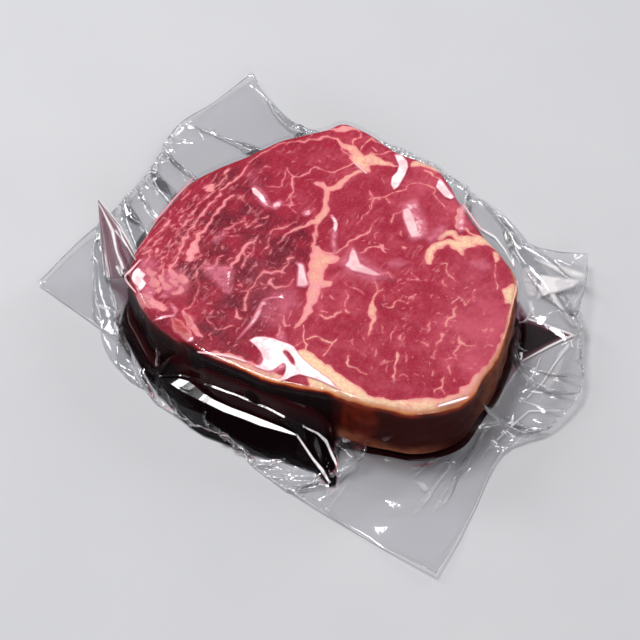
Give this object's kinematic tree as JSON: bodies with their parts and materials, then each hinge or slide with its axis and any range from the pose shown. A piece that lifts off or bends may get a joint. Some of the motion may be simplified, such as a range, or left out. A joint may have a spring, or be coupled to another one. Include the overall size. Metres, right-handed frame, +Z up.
{
  "type": "vacuum-packed raw ribeye steak",
  "caption": "Thick-cut raw boneless ribeye steak, cut face up, sealed in a clear film pouch that hugs its sides and ends in four flat corners; rests on its underside.",
  "frame": {"origin": "middle of the whole outline in plan, on the underside", "axes": "+Z up out of the cut face, +Y the longest way across the pouch, +X to the right with the fat cap at the front"},
  "size_m": [0.24, 0.263, 0.0376],
  "materials": {
    "meat": "moist raw beef, red lean with cream fat",
    "film": "clear glossy film"
  },
  "bodies": {
    "root": {"steak": "meat", "pouch": "film"}
  },
  "joints": []
}
